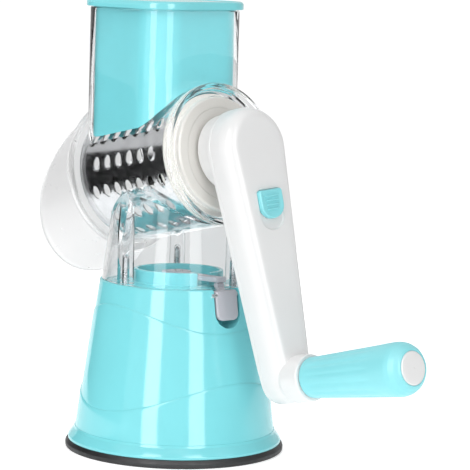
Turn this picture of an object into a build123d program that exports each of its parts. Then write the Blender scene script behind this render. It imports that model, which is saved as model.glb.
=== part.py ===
from build123d import *
import os
from math import cos, sin, radians, sqrt, pi

# Rotary cabbage shredder, free-standing on a suction foot.  Millimetres, +Z up.
# Origin: centre of the foot's underside, on the table.  +X points to the crank side,
# -X to the outlet side.  The drum axis lies in the XZ plane and rises towards the crank.

os.makedirs("parts", exist_ok=True)

# ---------------------------------------------------------------- driving dimensions
FOOT_R = 62.5            # rubber foot, outer radius
FOOT_T = 4.6             # visible height of the rubber rim
BASE_Z = 96.8            # deck of the turquoise base
BASE_R_TOP = 44.6        # base radius at the deck
BASE_R_LOW = 57.0        # base radius above the bottom flare
BASE_Z_LOW = 12.0
BASE_WALL = 2.4
DECK_T = 3.0
COLLAR_R, COLLAR_T, COLLAR_TOP = 25.5, 2.4, 104.0

BETA = 12.6              # drum axis tilt above horizontal, degrees
AX_Z = 163.7             # height of the drum axis above the foot centre
CRANK_PHASE = 4.0        # how far the crank hangs off straight down, degrees

BAR_RO, BAR_RI = 39.5, 37.0          # clear barrel
BAR_S0, BAR_S1 = -50.2, 36.0         # outlet end, crank end, along the drum axis
END_OPEN_R = 32.4                    # opening in the barrel's crank end

SK_R0, SK_SLOPE, SK_WALL = 43.7, 0.125, 2.2   # clear skirt cone
POST_RHO, POST_R, POST_ANG = 34.5, 4.5, (20.0, 140.0, 260.0)

TUBE_X = -17.4           # feed tube centre
TUBE_H, TUBE_C, TUBE_WALL, TUBE_TOP = 35.8, 20.0, 2.2, 249.8
PUSH_H, PUSH_C, PUSH_WALL = 33.2, 17.4, 2.0
FLANGE_H, FLANGE_C, FLANGE_T, FLANGE_Z = 37.8, 21.5, 4.6, 250.3

DRUM_R, DRUM_T = 35.0, 0.8
DRUM_S0, DRUM_S1 = -46.5, 27.0
HOLE_ROWS, HOLE_PITCH, HOLE_W, HOLE_H = 14, 9.61, 5.4, 7.4
HOLE_PHI0, HOLE_S0 = -166.0, -36.2   # first row: angle about the axis, first hole

ARM_RT, ARM_RB, ARM_L = 22.8, 13.2, 129.0     # arm hub end, grip end, centre distance
ARM_S0, ARM_SM, ARM_S1 = 47.0, 49.6, 66.0     # back face, joint line, front face
BOSS_R, BOSS_S0 = 21.2, 37.3
COLLAR_GRIP_R, COLLAR_GRIP_S = 12.8, 75.4
STUB_H = 7.0             # half width of the square drum stub

GRIP_S0, GRIP_S1 = 75.8, 151.0
SPINDLE_R = 4.0
BTN_W, BTN_TOP, BTN_BOT, BTN_TRAVEL = 17.0, -24.0, -40.0, 5.5

LEVER_Y, LEVER_W = -3.2, 15.0
PIVOT_X, PIVOT_Z = 42.6, 93.4          # lever pin, inside the base's wall just under the rim
FING_X, FING_Z, FING_R = -5.4, 5.0, 1.5  # lever's lifting finger, from the pin
WELL_HW, WELL_Z = 8.9, 75.0
ROD_R = 2.5

# ---------------------------------------------------------------- helpers
ROT = Location((0, 0, AX_Z), (0, -BETA, 0))            # drum-axis frame (local X = axis)
CRK = ROT * Location((0, 0, 0), (CRANK_PHASE, 0, 0))   # same, turned by the crank's phase


def save(name, shape):
    export_step(shape, f"parts/{name}.step")


def rev_z(pts):
    return revolve(Plane.XZ * Polygon(*pts, align=None), Axis.Z)


def rev_x(pts):
    return revolve(Plane.XZ * Polygon(*pts, align=None), Axis.X)


def zcyl(r, z0, z1, x=0.0, y=0.0):
    return Pos(x, y, (z0 + z1) / 2) * Cylinder(r, z1 - z0)


def xcyl(r, s0, s1, y=0.0, z=0.0):
    return Pos((s0 + s1) / 2, y, z) * Rot(0, 90, 0) * Cylinder(r, s1 - s0)


def ycyl(r, y0, y1, x=0.0, z=0.0):
    return Pos(x, (y0 + y1) / 2, z) * Rot(90, 0, 0) * Cylinder(r, y1 - y0)


def box(x0, x1, y0, y1, z0, z1):
    return Pos((x0 + x1) / 2, (y0 + y1) / 2, (z0 + z1) / 2) * Box(x1 - x0, y1 - y0, z1 - z0)


def prism(h, c, z0, z1, x=0.0):
    return Pos(x, 0, z0) * extrude(RectangleRounded(2 * h, 2 * h, c), z1 - z0)


def hull2(rt, rb, length, s0, s1):
    """Tapered arm outline: two round ends and their tangents, extruded along the axis."""
    ny = -(rt - rb) / length
    nx = sqrt(1 - ny * ny)
    quad = Polygon((rt * nx, rt * ny), (-rt * nx, rt * ny),
                   (-rb * nx, -length + rb * ny), (rb * nx, -length + rb * ny), align=None)
    sk = quad + Circle(rt) + Pos(0, -length) * Circle(rb)
    return Pos(s0, 0, 0) * extrude(Plane.YZ * sk, s1 - s0)


def polar(rho, ang):
    return rho * cos(radians(ang)), rho * sin(radians(ang))


def base_r(z):
    return BASE_R_LOW + (BASE_R_TOP - BASE_R_LOW) * (z - BASE_Z_LOW) / (BASE_Z - BASE_Z_LOW)


def skirt_r(z):
    return SK_R0 - SK_SLOPE * (z - BASE_Z)


barrel_solid = ROT * xcyl(BAR_RO, BAR_S0 - 30, BAR_S1 + 30)

# ---------------------------------------------------------------- base
W = BASE_WALL
base = rev_z([(0, BASE_Z), (BASE_R_TOP - 0.9, BASE_Z), (BASE_R_TOP, BASE_Z - 0.9),
              (BASE_R_LOW, BASE_Z_LOW), (57.7, 9.6), (59.3, 7.2), (60.9, 6.0), (61.0, FOOT_T),
              (58.2, FOOT_T), (57.2, 6.2), (55.4, 8.8), (BASE_R_LOW - W, BASE_Z_LOW),
              (base_r(BASE_Z - DECK_T) - W, BASE_Z - DECK_T), (0, BASE_Z - DECK_T)])
# round collar on the deck round the pull rod
base += rev_z([(COLLAR_R - COLLAR_T, BASE_Z - 0.5), (COLLAR_R, BASE_Z - 0.5), (COLLAR_R, COLLAR_TOP),
               (COLLAR_R - COLLAR_T, COLLAR_TOP)])
# recess for the suction lever: round bottomed well with its own back wall and floor
WY0, WY1 = LEVER_Y - WELL_HW, LEVER_Y + WELL_HW
well_out = box(34.0, 50, WY0 - 2.2, WY1 + 2.2, WELL_Z + WELL_HW, BASE_Z) + \
    Pos(42, LEVER_Y, WELL_Z + WELL_HW) * Rot(0, 90, 0) * Cylinder(WELL_HW + 2.2, 16)
cone_solid = rev_z([(0, 20), (base_r(20) - 0.6, 20), (BASE_R_TOP - 0.6, BASE_Z), (0, BASE_Z)])
base += (well_out & cone_solid)
well_in = box(36.4, 52, WY0, WY1, WELL_Z + WELL_HW, BASE_Z + 4) + \
    Pos(44.2, LEVER_Y, WELL_Z + WELL_HW) * Rot(0, 90, 0) * Cylinder(WELL_HW, 15.6)
base -= well_in
base -= ycyl(1.35, WY0 - 1.6, WY1 + 1.6, PIVOT_X, PIVOT_Z)
base -= box(33.0, 36.6, LEVER_Y - 3.6, LEVER_Y + 3.6, 87.4, BASE_Z + 1)      # slot for the lever's lifting finger
# notch in the collar for the lift bar, rod hole, screw holes
base -= box(COLLAR_R - 5, COLLAR_R + 2, LEVER_Y - 4.4, LEVER_Y + 4.4, BASE_Z + 0.1, COLLAR_TOP + 1)
base -= zcyl(ROD_R + 0.08, BASE_Z - DECK_T - 1, BASE_Z + 1)
for a in POST_ANG:
    x, y = polar(POST_RHO, a)
    base -= zcyl(1.8, BASE_Z - DECK_T - 5, BASE_Z + 1, x, y)
# bosses for the floor plate's screws
PL_ANG = (45.0, 135.0, 225.0, 315.0)
for a in PL_ANG:
    x, y = polar(46.2, a)
    base += zcyl(4.2, 15.2, 42.0, x, y) & rev_z([(0, 15.2), (base_r(15.2) - 0.5, 15.2), (base_r(42) - 0.5, 42), (0, 42)])
    base -= zcyl(1.55, 15.0, 34.0, x, y)
save("base_shell", base)

plate = rev_z([(ROD_R + 0.08, 9.8 + 4), (5.5, 9.8 + 4), (5.5, 12.6), (50.6, 12.6), (50.6, FOOT_T + 0.05), (53.0, FOOT_T + 0.05),
               (53.9, 9.0), (53.9, 15.1), (7.5, 15.1), (7.5, 22.0), (ROD_R + 0.08, 22.0)])
for a in PL_ANG:
    x, y = polar(46.2, a)
    plate -= zcyl(1.8, 12, 16, x, y)
save("floor_plate", plate)
ps = []
for a in PL_ANG:
    x, y = polar(46.2, a)
    ps.append(zcyl(3.0, 10.4, 12.55, x, y) + zcyl(1.5, 12.5, 30.0, x, y))
save("floor_plate_screws", Compound(children=ps))

# rubber suction foot: rim, membrane drawn up, centre boss round the pull rod's disc
cup = rev_z([(57.0, 0.0), (62.2, 0.0), (62.5, 1.2), (62.3, 3.2), (61.2, FOOT_T - 0.02), (50.4, FOOT_T - 0.02),
             (48.0, 6.6), (14.0, 10.4), (11.0, 11.6), (3.2, 11.6), (3.2, 10.0), (8.2, 10.0), (8.2, 8.4), (0, 8.4),
             (0, 6.6), (11.0, 6.6), (46.0, 3.2), (54.0, 2.4)])
save("suction_foot", cup)

rod = zcyl(8.0, 8.45, 9.95) + zcyl(ROD_R, 9.9, 103.4)
rod -= zcyl(ROD_R + 1, 73.9, 75.7) - zcyl(1.9, 73.9, 75.7)
save("pull_rod", rod)
save("rod_clip", zcyl(7.4, 74.0, 75.6) - zcyl(1.95, 73.0, 77.0))
pitch_h = 3.0
spring_path = Pos(0, 0, 76.6) * Helix(pitch=pitch_h, height=15.9, radius=5.2)
spring = sweep(Plane(origin=spring_path @ 0, z_dir=spring_path % 0) * Circle(0.55), path=spring_path)
save("rod_spring", spring)

# lift bar: sits on the rod's top, its outer end rides on the lever's cam
BAR_Z = PIVOT_Z + FING_Z + FING_R + 0.3
bar = box(-7.0, PIVOT_X + FING_X + 1.8, LEVER_Y - 3.4, LEVER_Y + 3.4, BAR_Z, BAR_Z + 2.6) + zcyl(7.0, BAR_Z, BAR_Z + 2.6)
bar -= zcyl(ROD_R, BAR_Z - 1, 103.4)
save("lift_bar", bar)

# suction lever: hub on the pivot pin, tab lying in the base's wall, finger under the lift bar
LW = LEVER_W / 2
lev_sk = Pos(0, (79.4 + 91.4) / 2) * RectangleRounded(LEVER_W, 12.0, 3.4) + Pos(0, 89.9) * Rectangle(LEVER_W, 7.0)
lever = Pos(40.6, LEVER_Y, 0) * extrude(Plane.YZ * lev_sk, 9.0)
skin_o = rev_z([(0, 70), (base_r(70), 70), (base_r(BASE_Z) - 0.05, BASE_Z), (0, BASE_Z)])
skin_i = rev_z([(0, 60), (base_r(60) - 3.2, 60), (base_r(100) - 3.2, 100), (0, 100)])
lever = (lever & skin_o) - skin_i
lever += ycyl(2.8, LEVER_Y - LW, LEVER_Y + LW, PIVOT_X, PIVOT_Z) & skin_o
fx, fz = PIVOT_X + FING_X, PIVOT_Z + FING_Z
lever += ycyl(FING_R, LEVER_Y - 2.4, LEVER_Y + 2.4, fx, fz)
lever += Pos((PIVOT_X + fx) / 2, LEVER_Y, (PIVOT_Z + fz) / 2) * Rot(0, 42.8, 0) * Box(7.36, 4.8, 2.4)
lever -= ycyl(1.35, LEVER_Y - LW - 1, LEVER_Y + LW + 1, PIVOT_X, PIVOT_Z)
save("suction_lever", lever)
save("lever_pin", ycyl(1.3, WY0 - 1.5, WY1 + 1.5, PIVOT_X, PIVOT_Z))

# ---------------------------------------------------------------- clear body
zt = 158.0
skirt = rev_z([(skirt_r(BASE_Z) - SK_WALL, BASE_Z), (skirt_r(BASE_Z), BASE_Z), (skirt_r(zt), zt), (skirt_r(zt) - SK_WALL, zt)])
within = rev_z([(0, BASE_Z), (skirt_r(BASE_Z) - 0.6, BASE_Z), (skirt_r(zt) - 0.6, zt), (0, zt)])
for a in POST_ANG:
    x, y = polar(POST_RHO, a)
    skirt += zcyl(POST_R, BASE_Z, 150, x, y) & within
skirt -= barrel_solid
# scallop under the splash guard
RIM_C, RIM_R, RIM_TILT = (-67.4, 0.0, 139.9), 47.4, 7.6
pl_a = Plane(ROT * Location((-50.4, 0, 0), (0, 90, 0)))
pl_r = Plane(Location(RIM_C, (0, 90 + RIM_TILT, 0)))
skirt -= ROT * xcyl(44.2, -60, -46.8)
skirt -= loft([pl_a * Circle(43.0), pl_r * Circle(RIM_R + 0.9)])
for a in POST_ANG:
    x, y = polar(POST_RHO, a)
    skirt -= zcyl(1.5, BASE_Z - 1, 113.5, x, y)
save("housing_skirt", skirt)
hs = []
for a in POST_ANG:
    x, y = polar(POST_RHO, a)
    hs.append(zcyl(3.0, BASE_Z - DECK_T - 2.2, BASE_Z - DECK_T, x, y) +
              zcyl(1.5, BASE_Z - DECK_T - 0.1, 111.0, x, y) +
              Pos(x, y, 111.7) * Cone(1.5, 0.4, 1.5))
save("housing_screws", Compound(children=hs))

tube = prism(TUBE_H, TUBE_C, 150, TUBE_TOP, TUBE_X) - \
    prism(TUBE_H - TUBE_WALL, TUBE_C - TUBE_WALL, 140, TUBE_TOP + 5, TUBE_X)
tube -= barrel_solid
tube -= box(-200, 200, -60, 60, 100, AX_Z + 5)
save("feed_tube", tube)

barrel = rev_x([(BAR_S0, BAR_RI), (BAR_S0, BAR_RO), (BAR_S1 - 3.2, BAR_RO), (BAR_S1 - 2.8, BAR_RO + 0.5), (BAR_S1 - 0.4, BAR_RO + 0.5),
                (BAR_S1, BAR_RO), (BAR_S1, 37.6), (BAR_S1 - 0.5, 37.2), (BAR_S1 - 3.5, 36.6), (BAR_S1 - 3.5, END_OPEN_R + 0.5),
                (BAR_S1 - 4.0, END_OPEN_R), (BAR_S1 - 6.0, END_OPEN_R), (BAR_S1 - 6.0, 35.4), (BAR_S1 - 7.0, BAR_RI)])
barrel = ROT * barrel
barrel -= prism(TUBE_H - TUBE_WALL, TUBE_C - TUBE_WALL, AX_Z, 260, TUBE_X)
save("drum_housing", barrel)

# splash guard: short sleeve on the barrel's outlet end, then an oblique flare to a round rim
g_out = loft([pl_a * Circle(42.0), pl_r * Circle(RIM_R)])
g_in = loft([pl_a * Circle(39.8), pl_r * Circle(RIM_R - 1.8)])
guard = g_out - g_in
guard += ROT * rev_x([(-50.6, 39.8), (-50.6, 42.2), (-50.0, 43.3), (-48.6, 43.3), (-48.0, 42.0), (-47.2, 42.0), (-47.2, 39.8)])
save("splash_guard", guard)

# ---------------------------------------------------------------- drum
drum = rev_x([(DRUM_S0, DRUM_R - DRUM_T), (DRUM_S0, DRUM_R), (DRUM_S1, DRUM_R), (DRUM_S1, DRUM_R - DRUM_T)])
hole = extrude(Plane(origin=(0, 0, DRUM_R - 4), z_dir=(0, 0, 1)) * Ellipse(HOLE_W / 2, HOLE_H / 2), 8)
cuts = []
for k in range(HOLE_ROWS):
    phi = HOLE_PHI0 + k * 360.0 / HOLE_ROWS
    # phi is measured from +Y towards +Z; the tool points along +Z
    n, s0 = (7, HOLE_S0) if k % 2 == 0 else (6, HOLE_S0 + HOLE_PITCH / 2)
    for i in range(n):
        cuts.append(Rot(phi - 90, 0, 0) * Pos(s0 + i * HOLE_PITCH, 0, 0) * hole)
drum = drum.cut(*cuts) if hasattr(drum, "cut") else drum - cuts
save("shredding_drum", CRK * drum)

cap = rev_x([(12.0, 0), (12.0, 13.0), (21.5, 14.0), (21.5, 34.1), (DRUM_S1 + 0.05, 34.1), (DRUM_S1 + 0.05, 34.9), (28.8, 34.9), (28.8, 32.3),
             (34.2, 32.3), (35.3, 31.2), (35.6, 30.0), (35.6, 0)])
cap -= Pos(24, 0, 0) * Box(30, 2 * STUB_H, 2 * STUB_H)
save("drum_cap", CRK * cap)
stub = Pos((12.5 + 58.0) / 2, 0, 0) * Box(58.0 - 12.5, 2 * STUB_H, 2 * STUB_H)
stub -= Pos(53.1, 0, 0) * (Box(2.4, 16, 16) - Box(2.4, 10, 10))
save("drum_stub", CRK * stub)

# ---------------------------------------------------------------- crank
back = hull2(ARM_RT - 0.2, ARM_RB - 0.2, ARM_L, ARM_S0, ARM_SM)
back += rev_x([(BOSS_S0, 0), (BOSS_S0, BOSS_R - 1.0), (BOSS_S0 + 1.0, BOSS_R), (ARM_S0 + 0.6, BOSS_R), (ARM_S0 + 0.6, 0)])
back -= rev_x([(BOSS_S0 + 2.6, 13.0), (BOSS_S0 + 2.6, BOSS_R - 2.4), (ARM_SM + 1, BOSS_R - 2.4), (ARM_SM + 1, 13.0)])
back -= Pos(45, 0, 0) * Box(30, 2 * STUB_H + 0.12, 2 * STUB_H + 0.12)
back -= xcyl(SPINDLE_R + 0.02, 40, 60, 0, -ARM_L)
# the back face draws in towards the tip, so the raised crank clears a lifted pusher
back -= extrude(Plane.XZ * Polygon((46.0, -144.5), (49.03, -144.5), (47.0, -112.0), (46.0, -112.0), align=None), 20, both=True)
SCR = ((0, -72.0), (0, -104.0))
for y, z in SCR:
    back -= xcyl(1.8, 40, 60, y, z)
    back -= xcyl(3.2, 46.5, 48.2, y, z)
save("crank_back", CRK * back)

cover = hull2(ARM_RT, ARM_RB, ARM_L, ARM_SM, ARM_S1)
top_edges = cover.faces().sort_by(Axis.X)[-1].edges()
cover = fillet(top_edges, 4.6)
cover -= hull2(ARM_RT - 2.2, ARM_RB - 2.2, ARM_L, ARM_SM - 1, ARM_S1 - 2.6)
cover += rev_x([(ARM_SM, 0), (ARM_SM, 8.0), (60.0, 8.0), (60.0, 10.0), (ARM_S1 - 0.6, 13.0), (ARM_S1, 12.9), (COLLAR_GRIP_S - 1.6, COLLAR_GRIP_R + 0.1),
                (COLLAR_GRIP_S - 0.4, COLLAR_GRIP_R), (COLLAR_GRIP_S, COLLAR_GRIP_R - 0.5), (COLLAR_GRIP_S, 0)]).moved(Location((0, 0, -ARM_L)))
cover -= xcyl(SPINDLE_R + 0.02, ARM_SM - 1, COLLAR_GRIP_S + 1, 0, -ARM_L)
for y, z in SCR:
    cover += xcyl(3.4, ARM_SM, ARM_S1 - 2.0, y, z)
    cover -= xcyl(1.5, ARM_SM - 1, ARM_S1 - 4.5, y, z)


def shield(w, top, bot, s0, s1):
    """Flat top, straight sides and a round bottom, extruded along the axis."""
    r = w / 2
    sk = Polygon((-r, top), (-r, bot + r * 0.82), (r, bot + r * 0.82), (r, top), align=None) + \
        Pos(0, bot + r * 0.82) * Ellipse(r, r * 0.82)
    return Pos(s0, 0, 0) * extrude(Plane.YZ * sk, s1 - s0)


cover -= shield(BTN_W + 1.0, BTN_TOP + 0.5, BTN_BOT - BTN_TRAVEL - 0.9, ARM_S1 - 1.0, ARM_S1 + 1)     # shallow finger recess
cover -= box(ARM_S1 - 4, ARM_S1 + 1, -4.3, 4.3, -41.0, -26.6)                                   # slot for the button's foot
# seat and end stop of the latch spring
cover += box(51.5, ARM_S1 - 2.2, -5.0, 5.0, -62.2, -60.4)
save("crank_cover", CRK * cover)

cs = []
for y, z in SCR:
    cs.append(xcyl(3.0, 46.7, 48.2, y, z) + xcyl(1.5, 48.1, 60.0, y, z))
save("crank_screws", Compound(children=[CRK * c for c in cs]))

button = shield(BTN_W, BTN_TOP, BTN_BOT, ARM_S1 - 0.7, ARM_S1 + 2.2)
button = fillet(button.faces().sort_by(Axis.X)[-1].edges(), 0.8)
for i in range(4):
    button += Pos(ARM_S1 + 2.1, 0, -27.4 - 2.4 * i) * Box(0.9, 10.5 - 0.6 * i, 0.9)
button += box(55.2, ARM_S1 - 0.6, -4.0, 4.0, -35.2, -27.0)
save("release_button", CRK * button)

latch = box(52.4, 53.8, -11.0, 11.0, -38.0, 14.4) - box(52, 54, -8.0, 8.0, -5.2, 12.0)
latch -= box(52, 54, 9.0, 12, -60, -20) + box(52, 54, -12, -9.0, -60, -20)
latch += box(53.7, 55.2, -3.2, 3.2, -34.6, -27.6)
latch += box(52.4, 53.8, -1.6, 1.6, -42.0, -37.9)
save("latch_plate", CRK * latch)
lsp = Pos(0, 0, -60.0) * Helix(pitch=2.6, height=21.4, radius=2.9)
lspring = sweep(Plane(origin=lsp @ 0, z_dir=lsp % 0) * Circle(0.4), path=lsp)
save("latch_spring", CRK * (Pos(53.1, 0, 0) * lspring))

# ---------------------------------------------------------------- grip
spindle = xcyl(SPINDLE_R, 48.3, 137.0, 0, -ARM_L)
spindle -= xcyl(1.5, 121, 138, 0, -ARM_L)
save("grip_spindle", CRK * spindle)
save("grip_screw", CRK * (xcyl(6.0, 137.0, 139.4, 0, -ARM_L) + xcyl(1.5, 122.0, 137.1, 0, -ARM_L)))
grip = rev_x([(GRIP_S0, SPINDLE_R + 0.1), (GRIP_S0, 10.6), (GRIP_S0 + 0.6, 11.2), (138.0, 14.5), (142.5, 14.6), (145.6, 14.0), (148.4, 12.6),
              (150.2, 10.9), (GRIP_S1 - 0.3, 9.6), (GRIP_S1 - 0.3, 9.2), (147.6, 9.2), (147.6, 7.4), (135.0, 7.4),
              (135.0, SPINDLE_R + 0.1)]).moved(Location((0, 0, -ARM_L)))
save("grip", CRK * grip)
gcap = rev_x([(147.65, 0), (147.65, 9.1), (150.6, 9.1), (GRIP_S1, 8.7), (GRIP_S1 + 0.3, 7.0), (GRIP_S1 + 0.4, 0)]).moved(Location((0, 0, -ARM_L)))
save("grip_end_cap", CRK * gcap)

# ---------------------------------------------------------------- pusher
push = prism(PUSH_H, PUSH_C, 150, FLANGE_Z - 0.02, TUBE_X)
push_in = prism(PUSH_H - PUSH_WALL, PUSH_C - PUSH_WALL, 140, FLANGE_Z + 5, TUBE_X) - ROT * xcyl(38.6 + 2.4, -90, 90)
push -= push_in
push -= ROT * xcyl(38.6, -90, 90)
push -= box(-200, 200, -60, 60, 100, AX_Z + 8)
save("pusher", push)
lid = prism(FLANGE_H, FLANGE_C, FLANGE_Z, FLANGE_Z + FLANGE_T, TUBE_X)
lid = fillet(lid.faces().sort_by(Axis.Z)[-1].edges(), 1.9)
lid += prism(PUSH_H - PUSH_WALL - 0.1, PUSH_C - PUSH_WALL, FLANGE_Z - 4, FLANGE_Z + 0.1, TUBE_X) - \
    prism(PUSH_H - PUSH_WALL - 2.1, PUSH_C - PUSH_WALL - 2, FLANGE_Z - 5, FLANGE_Z, TUBE_X)
save("pusher_lid", lid)
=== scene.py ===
import bpy
import bmesh
import numpy as np
from math import sin, cos, pi, radians, sqrt, hypot
from mathutils import Matrix, Vector


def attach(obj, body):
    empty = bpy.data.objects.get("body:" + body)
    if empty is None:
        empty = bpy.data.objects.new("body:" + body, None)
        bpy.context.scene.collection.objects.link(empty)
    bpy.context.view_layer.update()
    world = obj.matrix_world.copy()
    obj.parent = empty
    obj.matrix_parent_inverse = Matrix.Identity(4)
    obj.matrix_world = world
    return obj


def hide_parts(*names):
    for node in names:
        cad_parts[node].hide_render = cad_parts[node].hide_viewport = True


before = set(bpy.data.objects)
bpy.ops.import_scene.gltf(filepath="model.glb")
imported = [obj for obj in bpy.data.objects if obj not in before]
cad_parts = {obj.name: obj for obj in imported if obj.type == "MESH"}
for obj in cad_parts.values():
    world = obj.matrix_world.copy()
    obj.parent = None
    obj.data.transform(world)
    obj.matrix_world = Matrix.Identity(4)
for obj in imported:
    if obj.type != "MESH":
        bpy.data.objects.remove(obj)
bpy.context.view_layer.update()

# Rotary shredder: the looks.  Helper code works in millimetres in the part's own frame.
AX = 163.7
CB, SB = cos(radians(12.6)), sin(radians(12.6))
CP, SP = cos(radians(4.0)), sin(radians(4.0))
ARM_L = 129.0


# ------------------------------------------------------------------ frames
def rot(p):
    """drum-axis frame (s, y, z) to the part's frame"""
    p = np.asarray(p, float)
    s, y, z = p[..., 0], p[..., 1], p[..., 2]
    return np.stack([s * CB - z * SB, y, s * SB + z * CB + AX], -1)


def crk(p):
    """the same, turned by the crank's phase"""
    p = np.asarray(p, float)
    s, y, z = p[..., 0], p[..., 1], p[..., 2]
    return rot(np.stack([s, y * CP - z * SP, y * SP + z * CP], -1))


def ident(p):
    return np.asarray(p, float)


# ------------------------------------------------------------------ mesh helpers
def build(name, verts, faces, sharp=32.0):
    me = bpy.data.meshes.new(name)
    me.from_pydata((np.asarray(verts, float) * 0.001).tolist(), [], faces)
    ob = bpy.data.objects.new(name, me)
    bpy.context.scene.collection.objects.link(ob)
    tidy(ob, sharp)
    return ob


def tidy(ob, sharp=32.0, merge=0.0):
    bm = bmesh.new()
    bm.from_mesh(ob.data)
    if merge:
        bmesh.ops.remove_doubles(bm, verts=bm.verts, dist=merge * 0.001)
        bmesh.ops.dissolve_degenerate(bm, edges=bm.edges, dist=1e-7)
    bmesh.ops.recalc_face_normals(bm, faces=bm.faces)
    lim = radians(sharp)
    for f in bm.faces:
        f.smooth = True
    for e in bm.edges:
        e.smooth = not (len(e.link_faces) != 2 or e.calc_face_angle(0.0) > lim)
    bm.to_mesh(ob.data)
    bm.free()
    ob.data.update()
    return ob


def skin(name, rings, closed=False, cap0=True, cap1=True, sharp=32.0):
    """Quads between consecutive rings of equal length; closed joins the last ring to the first."""
    R = [np.asarray(r, float) for r in rings]
    n = len(R[0])
    verts = np.concatenate(R)
    faces = []
    m = len(R)
    for i in range(m if closed else m - 1):
        a, b = i * n, ((i + 1) % m) * n
        for j in range(n):
            k = (j + 1) % n
            faces.append((a + j, a + k, b + k, b + j))
    if not closed:
        if cap0:
            faces.append(tuple(range(n - 1, -1, -1)))
        if cap1:
            faces.append(tuple(range((m - 1) * n, m * n)))
    return build(name, verts, faces, sharp)


def rounded(pts, n=6):
    """(x, y) or (x, y, radius) corners of a closed outline, its corners rounded by arcs."""
    out = []
    m = len(pts)
    for i, p in enumerate(pts):
        r = p[2] if len(p) > 2 else 0.0
        P = np.array(p[:2], float)
        if r <= 0:
            out.append(P)
            continue
        A, B = np.array(pts[i - 1][:2], float), np.array(pts[(i + 1) % m][:2], float)
        a, b = A - P, B - P
        la, lb = np.linalg.norm(a), np.linalg.norm(b)
        a, b = a / la, b / lb
        half = np.arccos(np.clip(a @ b, -1, 1)) / 2
        if abs(half - pi / 2) < 1e-3 or half < 1e-3:
            out.append(P)
            continue
        t = min(r / np.tan(half), 0.49 * la, 0.49 * lb)
        r = t * np.tan(half)
        c = P + (a + b) / np.linalg.norm(a + b) * (r / np.sin(half))
        s, e = P + a * t - c, P + b * t - c
        w0 = np.arctan2(s[1], s[0])
        dw = (np.arctan2(e[1], e[0]) - w0 + pi) % (2 * pi) - pi
        k = max(2, int(np.ceil(abs(dw) / (pi / 2) * n)) + 1)
        for q in range(k + 1):
            w = w0 + dw * q / k
            out.append(c + r * np.array([cos(w), sin(w)]))
    return out


def lathe_z(name, pts, n=256, to=ident, sharp=32.0, round_n=6):
    """Closed section of (radius, height[, corner]) turned about the vertical axis."""
    pr = rounded(pts, round_n)
    a = np.linspace(0, 2 * pi, n, endpoint=False)
    rings = [to(np.stack([r * np.cos(a), r * np.sin(a), np.full(n, z)], -1)) for r, z in pr]
    return skin(name, rings, closed=True, sharp=sharp)


def lathe_x(name, pts, n=256, to=rot, sharp=32.0, round_n=6, oy=0.0, oz=0.0, wobble=None, closed=True):
    """Closed section of (s, radius[, corner]) turned about the drum's or the grip's axis."""
    pr = rounded(pts, round_n)
    a = np.linspace(0, 2 * pi, n, endpoint=False)
    rings = []
    for s, r in pr:
        rr = r + (wobble(s, a) if wobble is not None and r > 10.0 else 0.0)
        rings.append(to(np.stack([np.full(n, s), oy + rr * np.cos(a), oz + rr * np.sin(a)], -1)))
    return skin(name, rings, closed=closed, sharp=sharp)


def solid_x(name, r, s0, s1, n=128, to=rot, oy=0.0, oz=0.0):
    a = np.linspace(0, 2 * pi, n, endpoint=False)
    return skin(name, [to(np.stack([np.full(n, s), oy + r * np.cos(a), oz + r * np.sin(a)], -1)) for s in (s0, s1)])


def solid_z(name, r, z0, z1, x=0.0, y=0.0, n=64, r1=None):
    a = np.linspace(0, 2 * pi, n, endpoint=False)
    r1 = r if r1 is None else r1
    return skin(name, [np.stack([x + q * np.cos(a), y + q * np.sin(a), np.full(n, z)], -1) for q, z in ((r, z0), (r1, z1))])


def block(name, x0, x1, y0, y1, z0, z1, to=ident):
    c = [(x0, y0), (x1, y0), (x1, y1), (x0, y1)]
    return skin(name, [to(np.array([(x, y, z) for x, y in c])) for z in (z0, z1)])


def rrect(h, c, n=20, m=8):
    """Rounded square outline, counter-clockwise, n steps a corner and m a side."""
    c = max(c, 0.3)
    out = []
    for q in range(4):
        w = q * pi / 2
        cx, cy = (h - c) * (1, -1, -1, 1)[q], (h - c) * (1, 1, -1, -1)[q]
        for i in range(n + 1):
            t = w + (pi / 2) * i / n
            out.append((cx + c * cos(t), cy + c * sin(t)))
        p0 = np.array(out[-1])
        nx, ny = (h - c) * (-1, -1, 1, 1)[q], (h - c) * (1, -1, -1, 1)[q]
        p1 = np.array([nx + c * cos(w + pi / 2), ny + c * sin(w + pi / 2)])
        for i in range(1, m):
            out.append(tuple(p0 + (p1 - p0) * i / m))
    return np.array(out)


def hull(rt, rb, n=40, m=36, length=ARM_L):
    """Arm outline in (y, z): hub arc at the origin, grip arc at -length, straight tangents."""
    ny = -(rt - rb) / length
    w0 = np.arcsin(ny)                       # angle of the right tangent's normal
    out = []
    for i in range(n + 1):                   # top arc, from the right tangent over the top to the left one
        t = w0 + (pi - 2 * w0) * i / n
        out.append((rt * cos(t), rt * sin(t)))
    L0 = np.array(out[-1])
    L1 = np.array([rb * cos(pi - w0), -length + rb * sin(pi - w0)])
    for i in range(1, m):
        out.append(tuple(L0 + (L1 - L0) * i / m))
    for i in range(n + 1):
        t = pi - w0 + (pi + 2 * w0) * i / n
        out.append((rb * cos(t), -length + rb * sin(t)))
    R0 = np.array(out[-1])
    R1 = np.array(out[0])
    for i in range(1, m):
        out.append(tuple(R0 + (R1 - R0) * i / m))
    return np.array(out)


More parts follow.
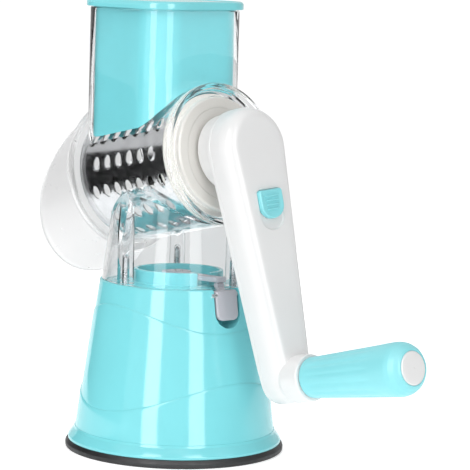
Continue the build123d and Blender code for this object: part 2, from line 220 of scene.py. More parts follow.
def shield(w, top, bot, inset=0.0, n=28, c=1.6):
    """Flat topped, round bottomed outline in (y, z), counter-clockwise, inset by a distance."""
    r = w / 2 - inset
    top, bot = top - inset, bot + inset
    zc = bot + r * 0.86
    cc = max(c - inset, 0.3)
    out = []
    for i in range(7):
        t = i / 6 * pi / 2
        out.append((r - cc + cc * cos(t), top - cc + cc * sin(t)))
    for i in range(7):
        t = pi / 2 + i / 6 * pi / 2
        out.append((-r + cc + cc * cos(t), top - cc + cc * sin(t)))
    for i in range(n + 1):
        t = pi + i / n * pi
        out.append((r * cos(t), zc + r * 0.86 * sin(t)))
    return np.array(out)


def lift(outline, s, to=crk):
    """(y, z) outline placed at s along the axis"""
    return to(np.column_stack([np.full(len(outline), s), outline]))


def boole(ob, cutter, op="DIFFERENCE", sharp=32.0, keep=False, solver="MANIFOLD"):
    md = ob.modifiers.new("b", "BOOLEAN")
    md.operation, md.object, md.solver = op, cutter, solver
    dg = bpy.context.evaluated_depsgraph_get()
    me = bpy.data.meshes.new_from_object(ob.evaluated_get(dg))
    ob.modifiers.clear()
    ob.data = me
    if not keep:
        bpy.data.objects.remove(cutter)
    return ob


def done(ob, body, nodes, material, sharp=32.0, merge=0.0):
    if merge:
        tidy(ob, sharp, merge)
    else:
        tidy(ob, sharp)
    ob.data.materials.clear()
    ob.data.materials.append(material)
    for p in ob.data.polygons:
        p.material_index = 0
    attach(ob, body)
    if nodes:
        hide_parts(*nodes)
    return ob


# ------------------------------------------------------------------ materials
def lin(r, g, b):
    f = lambda c: c / 12.92 if c <= 0.04045 else ((c + 0.055) / 1.055) ** 2.4
    return (f(r / 255), f(g / 255), f(b / 255), 1.0)


def shade(c, k):
    return tuple(min(1.0, v * k) for v in c[:3]) + (1.0,)


def material(name, rgb, var=0.03, rough=(0.26, 0.36), big=45.0, fine=1400.0, bump=0.03, dist=0.00005, metallic=0.0,
             ior=1.5, trans=0.0, coat=0.0, coat_rough=0.08, sub=0.0, spec=0.5, stretch=(1, 1, 1), aniso=0.0):
    m = bpy.data.materials.new(name)
    m.use_nodes = True
    nt = m.node_tree
    N, L = nt.nodes, nt.links
    b = N["Principled BSDF"]
    tc = N.new("ShaderNodeTexCoord")
    mp = N.new("ShaderNodeMapping")
    mp.inputs["Scale"].default_value = stretch
    L.new(tc.outputs["Object"], mp.inputs["Vector"])
    n1 = N.new("ShaderNodeTexNoise")
    n1.inputs["Scale"].default_value = big
    n1.inputs["Detail"].default_value = 4.0
    L.new(mp.outputs["Vector"], n1.inputs["Vector"])
    cr = N.new("ShaderNodeValToRGB")
    cr.color_ramp.elements[0].position, cr.color_ramp.elements[1].position = 0.3, 0.7
    cr.color_ramp.elements[0].color = shade(rgb, 1 - var)
    cr.color_ramp.elements[1].color = shade(rgb, 1 + var * 0.6)
    L.new(n1.outputs["Fac"], cr.inputs["Fac"])
    L.new(cr.outputs["Color"], b.inputs["Base Color"])
    n2 = N.new("ShaderNodeTexNoise")
    n2.inputs["Scale"].default_value = fine
    n2.inputs["Detail"].default_value = 3.0
    L.new(mp.outputs["Vector"], n2.inputs["Vector"])
    n3 = N.new("ShaderNodeTexNoise")
    n3.inputs["Scale"].default_value = big * 4.2
    n3.inputs["Detail"].default_value = 6.0
    L.new(mp.outputs["Vector"], n3.inputs["Vector"])
    mr = N.new("ShaderNodeMapRange")
    mr.inputs["From Min"].default_value, mr.inputs["From Max"].default_value = 0.3, 0.7
    mr.inputs["To Min"].default_value, mr.inputs["To Max"].default_value = rough
    L.new(n3.outputs["Fac"], mr.inputs["Value"])
    L.new(mr.outputs["Result"], b.inputs["Roughness"])
    bp = N.new("ShaderNodeBump")
    bp.inputs["Strength"].default_value = bump
    bp.inputs["Distance"].default_value = dist
    L.new(n2.outputs["Fac"], bp.inputs["Height"])
    L.new(bp.outputs["Normal"], b.inputs["Normal"])
    b.inputs["Metallic"].default_value = metallic
    b.inputs["IOR"].default_value = ior
    b.inputs["Transmission Weight"].default_value = trans
    b.inputs["Coat Weight"].default_value = coat
    b.inputs["Coat Roughness"].default_value = coat_rough
    b.inputs["Subsurface Weight"].default_value = sub
    b.inputs["Specular IOR Level"].default_value = spec
    if sub:
        b.inputs["Subsurface Radius"].default_value = (0.004, 0.004, 0.004)
        b.inputs["Subsurface Scale"].default_value = 0.5
    if aniso:
        b.inputs["Anisotropic"].default_value = aniso
    return m


TURQ = lin(124, 210, 217)
M = {
    "turq": material("turquoise_moulding", TURQ, var=0.02, rough=(0.08, 0.12), bump=0.04, dist=0.00003, fine=1100),
    "turq_grip": material("turquoise_grip", lin(134, 213, 220), var=0.03, rough=(0.34, 0.46), bump=0.25, dist=0.00004, fine=1800),
    "turq_in": material("turquoise_inner", lin(90, 200, 208), var=0.03, rough=(0.35, 0.5), bump=0.2, dist=0.00004),
    "white": material("white_moulding", (0.73, 0.73, 0.73, 1), var=0.012, rough=(0.30, 0.40), bump=0.12, dist=0.00003, fine=1300),
    # drum cap white, darker and warmer than the other white mouldings: painted shade standing in for the shadow the
    # crank boss casts on the cap
    "painted_shade_white": material("white_with_painted_shade", (0.70, 0.685, 0.65, 1), var=0.02, rough=(0.3, 0.42), bump=0.12, dist=0.00003),
    "grey": material("grey_moulding", lin(186, 185, 192), var=0.03, rough=(0.3, 0.42), bump=0.15, dist=0.00003),
    "black": material("black_rubber_sheet", (0.012, 0.012, 0.013, 1), var=0.2, rough=(0.4, 0.6), bump=0.5, dist=0.00006, fine=900),
    "clear": material("clear_moulding", (0.965, 0.975, 0.98, 1), var=0.004, rough=(0.0, 0.035), bump=0.015, dist=0.00001, fine=260,
                      trans=1.0, ior=1.33, big=70),
    "guard": material("hazy_clear_moulding", (0.90, 0.902, 0.905, 1), var=0.006, rough=(0.27, 0.30), bump=0.01, dist=0.00001, fine=400,
                      trans=1.0, ior=1.45),
    "steel": material("bright_steel_sheet", (0.70, 0.70, 0.71, 1), var=0.10, rough=(0.10, 0.24), metallic=1.0, big=90, bump=0.06,
                      dist=0.00002, fine=700),
    "pin": material("turned_steel", (0.62, 0.62, 0.63, 1), var=0.10, rough=(0.2, 0.36), metallic=1.0, bump=0.1, dist=0.00002, fine=1500),
}


# ------------------------------------------------------------------ base
def base_r(z):
    return 57.0 + (44.6 - 57.0) * (z - 12.0) / 84.8


NB = 400
AB = np.linspace(0, 2 * pi, NB, endpoint=False)
ZU = 77.55 + 3.47 * np.cos(AB) + 0.18 * np.sin(AB) - 8.42 * np.cos(2 * AB) + 1.97 * np.sin(2 * AB)
ZL = 35.02 + 1.11 * np.cos(AB) - 0.59 * np.sin(AB) + 8.33 * np.cos(2 * AB) - 0.21 * np.sin(2 * AB)
STEP = 0.5


def panel(z):
    """extra radius of the stepped panels: each starts proud at its wave line and eases back"""
    def one(top, bottom):
        d = top - z
        up = 1 - np.exp(-np.clip(d, 0, None) / 0.32)
        t = np.clip(d / (top - bottom), 0, 1)
        return np.where(d > 0, STEP * up * (1 - t * t * (3 - 2 * t)), 0.0)
    return one(ZU, ZL) * (z > ZL) + one(ZL, np.full_like(z, 12.0)) * (z > 12.0)


def ring(r, z):
    r = r * np.ones(NB)
    z = z * np.ones(NB)
    return np.stack([r * np.cos(AB), r * np.sin(AB), z], -1)


rings = []
for r, z in rounded([(58.4, 4.62), (60.95, 4.62, 0.4), (60.95, 6.3, 1.0), (59.6, 8.2, 2.0), (57.75, 10.6, 1.2), (57.35, 12.0, 0.3),
                     (57.0, 12.0)], 6)[1:-1]:
    rings.append(ring(r, z))
for z in (12.02, 12.3, 13.2):
    rings.append(ring(base_r(z), z))
NEAR = (3.0, 1.8, 1.1, 0.7, 0.45, 0.28, 0.15, 0.06, 0.0, -0.06, -0.5, -1.6)
for k in range(1, 7):
    z = 13.2 + (ZL - 3.0 - 13.2) * k / 7
    rings.append(ring(base_r(z) + panel(z), z))
for d in NEAR:
    z = ZL - d
    rings.append(ring(base_r(z) + panel(z), z))
for k in range(1, 10):
    z = (ZL + 1.6) + (ZU - 3.0 - ZL - 1.6) * k / 10
    rings.append(ring(base_r(z) + panel(z), z))
for d in NEAR:
    z = ZU - d
    rings.append(ring(base_r(z) + panel(z), z))
for k in range(1, 7):
    z = (ZU + 1.6) + (94.6 - ZU - 1.6) * k / 6
    rings.append(ring(base_r(z), z))
top = rounded([(46.0, 90.0), (44.62, 96.8, 1.1), (30.0, 96.8), (25.5, 96.8, 0.6), (25.5, 104.0, 0.6), (23.1, 104.0, 0.6), (23.1, 96.8, 0.6),
               (12.0, 96.8), (2.6, 96.8, 0.3), (2.6, 93.8, 0.2), (20.0, 93.8), (base_r(93.8) - 2.4, 93.8, 1.5), (56.0 - 2.0, 14.0), (54.2, 12.0, 1.0),
               (55.4, 8.8, 0.8), (57.2, 6.2, 0.6), (58.3, 4.62, 0.3)], 6)[1:]
for r, z in top:
    rings.append(ring(r, z))
base = skin("base_body", rings, closed=True)

LY = -3.2


def well(grow, x0, x1, ztop):
    hw = 8.9 + grow
    pts = []
    for i in range(49):
        t = pi + pi * i / 48
        pts.append((LY + hw * cos(t), 83.9 + hw * sin(t)))
    pts += [(LY + hw, ztop), (LY - hw, ztop)]
    pts = np.array(pts)
    return skin("w", [np.column_stack([np.full(len(pts), x), pts]) for x in (x0, x1)])


cone = skin("c", [np.stack([r * np.cos(AB), r * np.sin(AB), np.full(NB, z)], -1)
                  for r, z in ((base_r(60) - 1.0, 60.0), (base_r(96.3) - 1.0, 96.3))])
pocket = boole(well(2.2, 34.0, 52.0, 96.0), cone, "INTERSECT")
base = boole(base, pocket, "UNION")
base = boole(base, well(0.0, 36.4, 55.0, 100.0))
base = boole(base, block("k", 33.0, 36.8, LY - 3.6, LY + 3.6, 87.4, 99.0))
base = boole(base, block("k", 20.0, 28.0, LY - 4.4, LY + 4.4, 96.9, 106.0))
POSTS = [(34.5 * cos(radians(a)), 34.5 * sin(radians(a))) for a in (20.0, 140.0, 260.0)]
for x, y in POSTS:
    base = boole(base, solid_z("k", 1.8, 90.0, 99.0, x, y))
done(base, "stand", ["base_shell"], M["turq"], sharp=38)

foot = lathe_z("foot_rubber", [(56.6, 0.05, 0.5), (58.6, 0.0, 0.4), (59.0, 0.7, 0.3), (60.2, 0.7, 0.3), (60.6, 0.0, 0.4), (62.3, 0.0, 0.7),
                               (62.5, 2.6, 1.3), (61.2, 4.6, 0.5), (50.4, 4.58), (48.0, 6.6, 1.0), (14.0, 10.4, 1.0), (11.0, 11.6, 0.6),
                               (3.2, 11.6), (3.2, 10.0), (8.2, 10.0), (8.2, 8.4), (0.4, 8.4), (0.4, 6.6), (11.0, 6.6, 1.5), (46.0, 3.2, 3.0),
                               (54.0, 2.4, 1.0)], n=320)
done(foot, "stand", ["suction_foot"], M["black"], sharp=40)

# lever tab lying in the wall's recess
LT = []
for i in range(4):
    cx, cz, w = ((7.5 - 3.6, 79.4 + 3.6, 3 * pi / 2), (7.5 - 1.2, 96.0 - 1.2, 0.0), (-7.5 + 1.2, 96.0 - 1.2, pi / 2), (-7.5 + 3.6, 79.4 + 3.6, pi))[i]
    r = 3.6 if i in (0, 3) else 1.2
    LT += [(cx + r * cos(w + pi / 2 * k / 8), cz + r * sin(w + pi / 2 * k / 8)) for k in range(9)]
LT = np.array(LT)
LC = np.array([0.0, 87.6])


def tab_ring(inset, depth, scale_hint=1.0):
    v = LT - LC
    f = 1 - inset / np.maximum(np.abs(v).max(1), 1e-6)
    n = v / np.linalg.norm(v, axis=1)[:, None]
    p = LT - n * inset
    y = p[:, 0] + LY
    z = p[:, 1]
    r = base_r(z) - depth
    return np.column_stack([np.sqrt(np.maximum(r * r - y * y, 1.0)), y, z])


lever = skin("lever_tab", [tab_ring(0.5, 3.15), tab_ring(0.1, 3.0), tab_ring(0.0, 2.7), tab_ring(0.0, 1.0), tab_ring(0.08, 0.62), tab_ring(0.3, 0.3),
                           tab_ring(0.65, 0.12), tab_ring(1.1, 0.06), tab_ring(2.4, 0.05), tab_ring(4.5, 0.05), tab_ring(6.0, 0.05)])
arm = skin("k", [np.column_stack([np.array([37.0, 37.0, 44.0, 44.0]) + dx, np.array([y] * 4), np.array([98.6, 96.8, 90.0, 93.4])])
                 for y, dx in ((LY - 2.3, 0.0), (LY + 2.3, 0.0))])
lever = boole(lever, arm, "UNION")
a = np.linspace(0, 2 * pi, 40, endpoint=False)
lever = boole(lever, skin("k", [np.column_stack([37.2 + 1.5 * np.cos(a), np.full(40, y), 98.4 + 1.5 * np.sin(a)]) for y in (LY - 2.4, LY + 2.4)]), "UNION")
lever = boole(lever, skin("k", [np.column_stack([42.6 + 1.36 * np.cos(a), np.full(40, y), 93.4 + 1.36 * np.sin(a)]) for y in (LY - 9, LY + 9)]))
done(lever, "lever", ["suction_lever"], M["grey"], sharp=38)

# ------------------------------------------------------------------ clear housing, one moulding
TX, TH, TC, TW, TT = -17.4, 35.8, 20.0, 2.2, 249.8


def prism_rings(rows, x=TX, n=20, m=8):
    return [np.column_stack([rrect(h, c, n, m) + np.array([x, 0.0]), np.full(len(rrect(h, c, n, m)), z)]) for h, c, z in rows]


def prism(name, h, c, z0, z1, x=TX, n=20, m=8):
    return skin(name, prism_rings([(h, c, z0), (h, c, z1)], x, n, m))


sk = lambda z: 43.7 - 0.125 * (z - 96.8)
skirt = lathe_z("skirt", [(sk(96.85) - 2.2, 96.85, 0.3), (sk(96.85), 96.85, 0.5), (sk(158), 158.0), (sk(158) - 2.2, 158.0)], n=320)
post_cone = skin("c", [np.stack([r * np.cos(AB), r * np.sin(AB), np.full(NB, z)], -1) for r, z in ((sk(96.9) - 0.8, 96.9), (sk(150) - 0.8, 150.0))])
posts = None
for x, y in POSTS:
    p = solid_z("p", 4.7, 90.0, 149.0, x, y, n=72, r1=4.0)
    posts = p if posts is None else boole(posts, p, "UNION")
posts = boole(posts, post_cone, "INTERSECT")
skirt = boole(skirt, posts, "UNION")
skirt = boole(skirt, solid_x("k", 38.3, -90.0, 90.0, n=320))
skirt = boole(skirt, solid_x("k", 44.2, -60.0, -46.8, n=128))


def guard_ring(t, r0, r1, s0=-50.4):
    f = np.linspace(0, 2 * pi, 256, endpoint=False)
    P = rot(np.column_stack([np.full(256, s0), r0 * np.cos(f), r0 * np.sin(f)]))
    e = np.array([0.13226, 0.0, 0.99122])
    Q = np.array([-67.4, 0.0, 139.9]) + r1 * (np.cos(f)[:, None] * np.array([0.0, 1.0, 0.0]) + np.sin(f)[:, None] * e)
    return P * (1 - t) + Q * t


skirt = boole(skirt, skin("k", [guard_ring(0, 43.0, 48.3), guard_ring(1, 43.0, 48.3)]))
for x, y in POSTS:
    skirt = boole(skirt, solid_z("k", 1.5, 90.0, 112.5, x, y, n=40))
    skirt = boole(skirt, solid_z("k", 1.5, 112.4, 113.6, x, y, n=40, r1=0.3))

tube = skin("tube", prism_rings([(TH, TC, 150.0), (TH, TC, TT - 0.8), (TH - 0.15, TC - 0.15, TT - 0.3), (TH - 0.5, TC - 0.5, TT),
                                 (TH - TW + 0.5, TC - TW + 0.5, TT), (TH - TW + 0.15, TC - TW + 0.15, TT - 0.3), (TH - TW, TC - TW, TT - 0.8),
                                 (TH - TW, TC - TW, 150.0)]), closed=True)
tube = boole(tube, solid_x("k", 38.3, -90.0, 90.0, n=320))
tube = boole(tube, block("k", -200, 200, -60, 60, 100, AX + 5))

S0, S1 = -50.2, 36.0
barrel = lathe_x("clear_housing", [(S0, 37.0, 0.3), (S0, 39.5, 0.5), (S1 - 4.2, 39.5), (S1 - 3.2, 40.0, 0.5), (S1 - 0.2, 40.0, 0.9), (S1, 38.6, 0.5),
                                   (S1 - 0.3, 37.3, 0.5), (S1 - 3.2, 36.4, 0.8), (S1 - 3.5, 33.0, 0.5), (S1 - 4.2, 32.42, 0.3),
                                   (S1 - 6.0, 32.42, 0.3), (S1 - 6.0, 35.6, 1.0), (S1 - 7.4, 37.0, 0.6)], n=320)
barrel = boole(barrel, prism("k", TH - TW, TC - TW, AX, 270))
housing = boole(barrel, skirt, "UNION")
housing = boole(housing, tube, "UNION")
done(housing, "stand", ["housing_skirt", "drum_housing", "feed_tube"], M["clear"], sharp=28, merge=0.002)
housing.visible_shadow = False

# ------------------------------------------------------------------ splash guard
NG = 14
outer = [guard_ring(k / NG, 42.0, 47.4) for k in range(NG + 1)]
inner = [guard_ring(k / NG, 39.9, 45.7) for k in range(NG + 1)]
f = np.linspace(0, 2 * pi, 256, endpoint=False)


def circ(s, r):
    return rot(np.column_stack([np.full(256, s), r * np.cos(f), r * np.sin(f)]))


def rim(dr, off):
    """ring round the rim, off along the rim plane's normal"""
    e = np.array([0.13226, 0.0, 0.99122])
    nn = np.array([-0.99122, 0.0, 0.13226])
    return np.array([-67.4, 0.0, 139.9]) + off * nn + (47.4 + dr) * (np.cos(f)[:, None] * np.array([0.0, 1.0, 0.0]) + np.sin(f)[:, None] * e)


lip = [circ(s, r) for s, r in rounded([(-47.2, 39.9, 0.3), (-47.2, 42.1, 0.4), (-48.2, 42.1, 0.2), (-48.9, 43.2, 0.5), (-50.0, 43.2, 0.6), (-50.5, 42.0, 0.4)], 4)[1:]]
g_rings = list(lip) + outer[1:-1] + [rim(0.0, -0.6), rim(0.1, 0.0), rim(-0.05, 0.45), rim(-0.5, 0.75), rim(-1.1, 0.75), rim(-1.5, 0.45), rim(-1.65, 0.0)] + \
    inner[1:-1][::-1] + [circ(-50.4, 39.9), circ(-47.4, 39.9)]
guard = skin("splash_guard_clear", g_rings, closed=True)
done(guard, "guard", ["splash_guard"], M["guard"], sharp=40)
guard.visible_shadow = False

# ------------------------------------------------------------------ drum
DR, DT = 35.0, 0.8
NDR = 330
sd = np.linspace(-46.5, 27.0, 96)


def drum_pts(r):
    w = np.linspace(0, 2 * pi, NDR, endpoint=False)
    return [np.column_stack([np.full(NDR, s), r * np.cos(w), r * np.sin(w)]) for s in sd]


drum = skin("shredding_drum_sheet", drum_pts(DR) + drum_pts(DR - DT)[::-1], closed=True)
HOLES = []
cut_v, cut_f = [], []
for k in range(14):
    phi = radians(-166.0 + k * 360.0 / 14)
    cnt, s0 = (7, -36.2) if k % 2 == 0 else (6, -31.4)
    for i in range(cnt):
        s = s0 + 9.61 * i
        HOLES.append((s, phi))
        o = len(cut_v)
        for r in (32.0, 38.0):
            for q in range(36):
                t = 2 * pi * q / 36
                d1, d2 = 2.7 * cos(t), 3.7 * sin(t)
                w = phi + d2 / DR
                cut_v.append((s + d1, r * cos(w), r * sin(w)))
        for q in range(36):
            p = (q + 1) % 36
            cut_f.append((o + q, o + p, o + 36 + p, o + 36 + q))
        cut_f.append(tuple(range(o + 35, o - 1, -1)))
        cut_f.append(tuple(range(o + 36, o + 72)))
drum = boole(drum, build("k", cut_v, cut_f))
co = np.zeros(len(drum.data.vertices) * 3)
drum.data.vertices.foreach_get("co", co)
co = co.reshape(-1, 3) * 1000.0
w = np.arctan2(co[:, 2], co[:, 1])
add = np.zeros(len(co))
for s, phi in HOLES:
    dx = co[:, 0] - s
    dy = ((w - phi + pi) % (2 * pi) - pi) * DR           # along the surface, towards the top on the camera side when negative
    rho = np.hypot(dx / 2.7, dy / 3.7)
    side = np.clip(dy / 3.7, -1.4, 1.4)
    wgt = np.clip((side + 0.05) / 0.7, 0, 1)
    wgt = wgt * wgt * (3 - 2 * wgt)
    h = 0.6 * wgt * np.exp(-((rho - 1.0) / 0.24) ** 2)
    h = np.where(rho < 0.9, 0.0, h)
    add = np.maximum(add, h)
rr = np.hypot(co[:, 1], co[:, 2])
rn = (rr + add) / rr
co[:, 1] *= rn
co[:, 2] *= rn
drum.data.vertices.foreach_set("co", (crk(co) * 0.001).ravel())
done(drum, "rotor", ["shredding_drum"], M["steel"], sharp=40)

cap = lathe_x("drum_end_cap", [(12.0, 10.0), (12.0, 13.0), (21.5, 14.0, 1.0), (21.5, 34.1), (27.05, 34.1), (27.05, 34.9, 0.2), (28.8, 34.9, 0.3), (28.8, 32.3),
                               (34.6, 32.3, 0.3), (35.6, 31.5, 0.8), (35.6, 26.4, 0.5), (35.1, 25.7, 0.4), (35.1, 10.0)], n=256, to=crk)
cap = boole(cap, solid_x("k", 10.3, 12.05, 35.05, n=96, to=crk), "UNION")
cap = boole(cap, block("k", 5.0, 39.0, -7.02, 7.02, -7.02, 7.02, to=crk))
# the cap takes the white with painted shade (the boss's shadow coloured into the whole cap)
done(cap, "rotor", ["drum_cap"], M["painted_shade_white"], sharp=38)

# ------------------------------------------------------------------ crank
RT, RB = 22.8, 13.2


def arm_rings(rows):
    return [lift(hull(RT - d, RB - d), s) for d, s in rows]


prof = [(0.35, 49.62), (0.05, 49.9), (0.0, 50.2), (0.0, 55.0)]
for k in range(0, 15):
    t = pi / 2 * k / 14
    prof.append((7.2 * (1 - cos(t)), 56.0 + 9.9 * sin(t)))
prof += [(8.6, 66.0)]
cover = skin("crank_arm_cover", arm_rings(prof))
cover = boole(cover, skin("k", arm_rings([(2.2, 48.0), (2.2, 58.5), (4.4, 62.6), (6.5, 63.4)])))
G = -ARM_L
collar = lathe_x("k", [(49.7, 4.05), (49.7, 8.0), (58.0, 8.0), (59.0, 11.0, 1.0), (63.0, 13.3, 2.0), (67.0, 13.15, 2.0), (74.2, 12.95, 1.0), (75.4, 12.75, 0.7), (75.4, 10.2, 0.3),
                       (75.0, 10.0), (75.0, 4.05)], n=128, to=crk, oz=G)
cover = boole(cover, collar, "UNION")
for z in (-72.0, -104.0):
    cover = boole(cover, solid_x("k", 3.4, 49.7, 64.5, n=40, to=crk, oz=z), "UNION")
    cover = boole(cover, solid_x("k", 1.52, 49.0, 61.5, n=40, to=crk, oz=z))
cover = boole(cover, block("k", 51.5, 64.0, -5.0, 5.0, -62.2, -60.4, to=crk), "UNION")
rec = [lift(shield(18.0, -23.5, -46.4, d, c=2.2), s) for d, s in ((1.3, 64.95), (0.75, 65.05), (0.35, 65.35), (0.12, 65.75), (-0.3, 66.8))]
cover = boole(cover, skin("k", rec))
cover = boole(cover, block("k", 60.0, 67.0, -4.3, 4.3, -39.4, -26.6, to=crk))
cover = boole(cover, solid_x("k", 4.04, 48.0, 77.0, n=64, to=crk, oz=G))
done(cover, "rotor", ["crank_cover"], M["white"], sharp=20, merge=0.01)

back = skin("crank_arm_back", arm_rings([(1.2, 47.0), (0.5, 47.1), (0.25, 47.5), (0.2, 48.0), (0.2, 49.2), (0.5, 49.55), (0.9, 49.56)]))
boss = lathe_x("k", [(37.3, 5.0), (37.3, 21.2, 1.4), (47.8, 21.2, 0.2), (47.8, 18.8), (40.0, 18.8, 1.0), (40.0, 13.0, 1.0), (48.6, 13.0), (48.6, 5.0)], n=192, to=crk)
back = boole(back, boss, "UNION")
back = boole(back, solid_x("k", 6.0, 37.31, 49.5, n=48, to=crk), "UNION")
back = boole(back, block("k", 30.0, 60.0, -7.06, 7.06, -7.06, 7.06, to=crk))
back = boole(back, solid_x("k", 4.04, 40.0, 60.0, n=64, to=crk, oz=G))
for z in (-72.0, -104.0):
    back = boole(back, solid_x("k", 1.8, 40.0, 60.0, n=40, to=crk, oz=z))
    back = boole(back, solid_x("k", 3.2, 46.0, 48.2, n=40, to=crk, oz=z))
wedge = np.array([(46.0, -144.5), (49.03, -144.5), (47.0, -112.0), (46.0, -112.0)])
back = boole(back, skin("k", [crk(np.column_stack([wedge[:, 0], np.full(4, y), wedge[:, 1]])) for y in (-20.0, 20.0)]))
done(back, "rotor", ["crank_back"], M["white"], sharp=30)

bt = [lift(shield(17.0, -24.0, -40.0, d), s) for d, s in ((0.0, 65.3), (0.0, 67.2), (0.12, 67.75), (0.45, 68.1), (0.95, 68.2), (1.6, 68.1), (2.0, 67.95), (6.0, 67.95))]
btn = skin("release_slider", bt)
for i in range(4):
    w2 = 5.2 - 0.35 * i
    z = -27.6 - 2.4 * i
    rib = []
    for d, s in ((0.0, 67.0), (0.0, 68.2), (0.2, 68.55), (0.45, 68.65)):
        q = rrect(1.0, 0.45, 5, 2) * np.array([[w2 - d, 0.5 - d]]) / 1.0
        q = q + np.array([[0.0, z]])
        rib.append(lift(q, s))
    btn = boole(btn, skin("k", rib), "UNION")
btn = boole(btn, block("k", 55.3, 65.5, -4.0, 4.0, -33.6, -27.0, to=crk), "UNION")
done(btn, "button", ["release_button"], M["turq_grip"], sharp=38)

# ------------------------------------------------------------------ grip


def flutes(s, a):
    t = np.clip((s - 79.0) / 7.0, 0, 1) * np.clip((134.0 - s) / 9.0, 0, 1)
    t = t * t * (3 - 2 * t)
    return -0.34 * t * (0.5 - 0.5 * np.cos(14 * a)) ** 2


gp = [(75.8, 4.15), (75.8, 10.7, 0.2), (76.2, 11.2, 0.4)]
gp += [(s, 11.24 + (14.5 - 11.24) * (s - 77.0) / 61.0) for s in np.arange(78.0, 138.0, 2.5)]
gp += [(140.0, 14.58), (142.6, 14.55, 1.0), (145.4, 14.0, 1.5), (148.2, 12.6, 1.5), (150.1, 10.8, 0.8), (150.75, 9.7, 0.3), (150.7, 9.22), (147.6, 9.22), (147.6, 7.4),
       (135.0, 7.4), (135.0, 4.15)]
grip = lathe_x("grip_sleeve", gp, n=280, to=crk, oz=G, wobble=flutes)
done(grip, "handle", ["grip"], M["turq_grip"], sharp=38)
ec = lathe_x("grip_end_disc", [(147.65, 0.3), (147.65, 9.12), (150.6, 9.12, 0.3), (151.2, 8.5, 0.8), (151.4, 6.0, 2.0), (151.4, 0.3)], n=128, to=crk, oz=G)
done(ec, "handle", ["grip_end_cap"], M["white"], sharp=38)

# ------------------------------------------------------------------ pusher
push = prism("pusher_body", 33.2, 17.4, 165.0, 250.3, n=24)
core = prism("k", 31.2, 15.4, 140.0, 260.0, n=24)
core = boole(core, solid_x("k", 41.0, -90.0, 90.0, n=256))
core = boole(core, block("k", -200, 200, -60, 60, 100, 172))
push = boole(push, core)
push = boole(push, solid_x("k", 38.6, -90.0, 90.0, n=320))
push = boole(push, block("k", -200, 200, -60, 60, 100, AX + 8))
done(push, "pusher", ["pusher"], M["turq"], sharp=34)
rows = [(37.4, 21.1, 250.3), (37.75, 21.45, 250.5), (37.8, 21.5, 250.9), (37.8, 21.5, 252.8)]
for k in range(1, 9):
    t = pi / 2 * k / 8
    rows.append((37.8 - 2.1 * (1 - cos(t)), 21.5 - 2.1 * (1 - cos(t)), 252.8 + 2.1 * sin(t)))
rows += [(34.6, 18.3, 254.9), (34.2, 17.9, 254.75), (33.8, 17.5, 254.45), (33.2, 16.9, 254.3), (20.0, 8.0, 254.25)]
lid = skin("pusher_cover", prism_rings(rows, n=24))
plug = skin("k", prism_rings([(31.1, 15.4, 246.3), (31.1, 15.4, 250.9), (29.1, 13.4, 250.9), (29.1, 13.4, 246.3)], n=24), closed=True)
lid = boole(lid, plug, "UNION")
done(lid, "pusher", ["pusher_lid"], M["turq"], sharp=34)

# ------------------------------------------------------------------ CAD pieces that stay
STAY = {"floor_plate": "turq_in", "floor_plate_screws": "pin", "pull_rod": "pin", "rod_clip": "pin", "rod_spring": "pin", "lift_bar": "grey",
        "lever_pin": "pin", "housing_screws": "pin", "drum_stub": "white", "crank_screws": "pin", "latch_plate": "pin", "latch_spring": "pin",
        "grip_spindle": "pin", "grip_screw": "pin"}
for n, key in STAY.items():
    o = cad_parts[n]
    o.data.materials.clear()
    o.data.materials.append(M[key])
    for p in o.data.polygons:
        p.material_index = 0

# ------------------------------------------------------------------ stage
sc = bpy.context.scene
PSI, TAU, ROLL, FPX = radians(46.827), radians(7.088), radians(1.711), 2380.438
CAM = Vector((1.001907, -0.896727, 0.290113))
fw = Vector((-sin(PSI) * cos(TAU), cos(PSI) * cos(TAU), -sin(TAU)))
rt = Vector((cos(PSI), sin(PSI), 0))
up = rt.cross(fw)
r2 = cos(ROLL) * rt + sin(ROLL) * up
u2 = -sin(ROLL) * rt + cos(ROLL) * up
cd = bpy.data.cameras.new("camera")
cd.sensor_width = 36.0
cd.lens = FPX / 470.0 * 36.0
cd.clip_start, cd.clip_end = 0.05, 50.0
cam = bpy.data.objects.new("camera", cd)
cam.matrix_world = Matrix(((r2.x, u2.x, -fw.x, CAM.x), (r2.y, u2.y, -fw.y, CAM.y), (r2.z, u2.z, -fw.z, CAM.z), (0, 0, 0, 1)))
sc.collection.objects.link(cam)
sc.camera = cam

a = np.linspace(0, 2 * pi, 96, endpoint=False)
floor = skin("floor", [np.column_stack([900 * np.cos(a), 900 * np.sin(a), np.full(96, -0.05)]), np.column_stack([900 * np.cos(a), 900 * np.sin(a), np.full(96, -20.0)])])
fm = material("pale_floor", (0.93, 0.93, 0.93, 1), var=0.004, rough=(0.6, 0.7), big=3, fine=300, bump=0.0)
fm.node_tree.nodes["Principled BSDF"].inputs["Emission Color"].default_value = (1, 1, 1, 1)
fm.node_tree.nodes["Principled BSDF"].inputs["Emission Strength"].default_value = 0.45
floor.data.materials.append(fm)


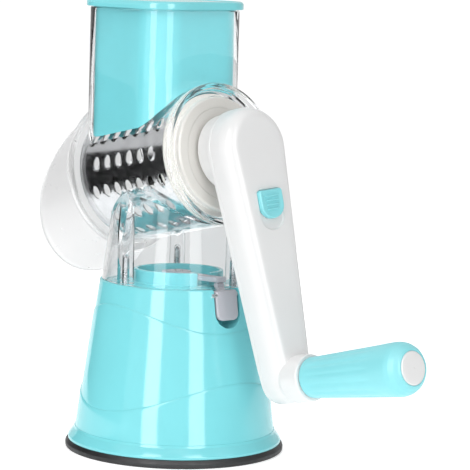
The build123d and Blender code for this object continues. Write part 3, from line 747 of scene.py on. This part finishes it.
def card(name, centre, toward, w, h, rgb, strength=0.0, diffuse=False, glossy=True, trans=True, camera=False):
    """An upright card facing a point; strength above 0 makes it a lamp."""
    c, t = Vector(centre), Vector(toward)
    d = (t - c).normalized()
    x = d.cross(Vector((0, 0, 1))).normalized()
    y = x.cross(d)
    P = [(c + x * i * w / 2 + y * j * h / 2) for i, j in ((-1, -1), (1, -1), (1, 1), (-1, 1))]
    me = bpy.data.meshes.new(name)
    me.from_pydata([tuple(p) for p in P], [], [(0, 1, 2, 3)])
    ob = bpy.data.objects.new(name, me)
    sc.collection.objects.link(ob)
    m = bpy.data.materials.new(name)
    m.use_nodes = True
    nt = m.node_tree
    nt.nodes.remove(nt.nodes["Principled BSDF"])
    e = nt.nodes.new("ShaderNodeEmission")
    e.inputs["Color"].default_value = rgb + (1,)
    e.inputs["Strength"].default_value = strength
    nt.links.new(e.outputs[0], nt.nodes["Material Output"].inputs["Surface"])
    me.materials.append(m)
    ob.visible_camera = camera
    ob.visible_diffuse = diffuse
    ob.visible_glossy = glossy
    ob.visible_transmission = trans
    ob.visible_shadow = False
    ob.visible_volume_scatter = False
    return ob


def around(az, dist, z):
    """point at an azimuth in the photo camera's terms: 0 is behind the camera, plus is to its right"""
    w = PSI + radians(az)
    return (dist * sin(w), -dist * cos(w), z)


def lamp(name, pos, at, w, h, power, rgb=(1, 1, 1)):
    ld = bpy.data.lights.new(name, "AREA")
    ld.shape = "RECTANGLE"
    ld.size, ld.size_y = w, h
    ld.energy = power
    ld.color = rgb
    lo = bpy.data.objects.new(name, ld)
    lo.location = pos
    d = Vector(at) - Vector(pos)
    lo.rotation_euler = d.to_track_quat("-Z", "Y").to_euler()
    lo.visible_camera = False
    sc.collection.objects.link(lo)
    return lo


for nm, az, k in (("left", -27, 8.0), ("right", 27, 6.5)):
    lamp("soft_" + nm, around(az, 1.45, 0.80), (0, 0, 0.30), 0.42, 1.7, 5.0 if az < 0 else 4.0).visible_glossy = False
    card("strip_" + nm, around(az, 1.45, 0.80), (0, 0, 0.30), 0.54, 1.7, (1.0, 1.0, 1.0), k, trans=False)
lamp("overhead", (0.1, -0.2, 1.9), (0, 0, 0.1), 1.6, 1.6, 7.0)
card("dark_left", around(-96, 0.27, 0.130), (0, 0, 0.130), 0.42, 0.24, (0.02, 0.02, 0.022))

wd = bpy.data.worlds.new("studio")
sc.world = wd
wd.use_nodes = True
nt = wd.node_tree
N, L = nt.nodes, nt.links
bg = N["Background"]
lp = N.new("ShaderNodeLightPath")
tc = N.new("ShaderNodeTexCoord")
dotr = N.new("ShaderNodeVectorMath")
dotr.operation = "DOT_PRODUCT"
w = PSI + radians(80)
dotr.inputs[1].default_value = (sin(w), -cos(w), 0.05)
L.new(tc.outputs["Generated"], dotr.inputs[0])
mr = N.new("ShaderNodeMapRange")
mr.interpolation_type = "SMOOTHSTEP"
mr.inputs["From Min"].default_value, mr.inputs["From Max"].default_value = 0.3, 0.95
mr.inputs["To Min"].default_value, mr.inputs["To Max"].default_value = 0.78, 0.34
L.new(dotr.outputs["Value"], mr.inputs["Value"])
mx = N.new("ShaderNodeMix")
mx.data_type = "FLOAT"
mx.inputs["B"].default_value = 1.05
L.new(lp.outputs["Is Camera Ray"], mx.inputs["Factor"])
L.new(mr.outputs["Result"], mx.inputs["A"])
L.new(mx.outputs["Result"], bg.inputs["Strength"])
bg.inputs["Color"].default_value = (1, 1, 1, 1)

sc.view_settings.view_transform = "Standard"
sc.view_settings.look = "None"
sc.cycles.max_bounces = 20
sc.cycles.transmission_bounces = 16
sc.cycles.transparent_max_bounces = 16
sc.cycles.glossy_bounces = 8
sc.cycles.diffuse_bounces = 4
sc.cycles.use_denoising = True
sc.cycles.caustics_reflective = True
sc.cycles.caustics_refractive = True
sc.cycles.blur_glossy = 0.3
sc.cycles.sample_clamp_indirect = 6.0
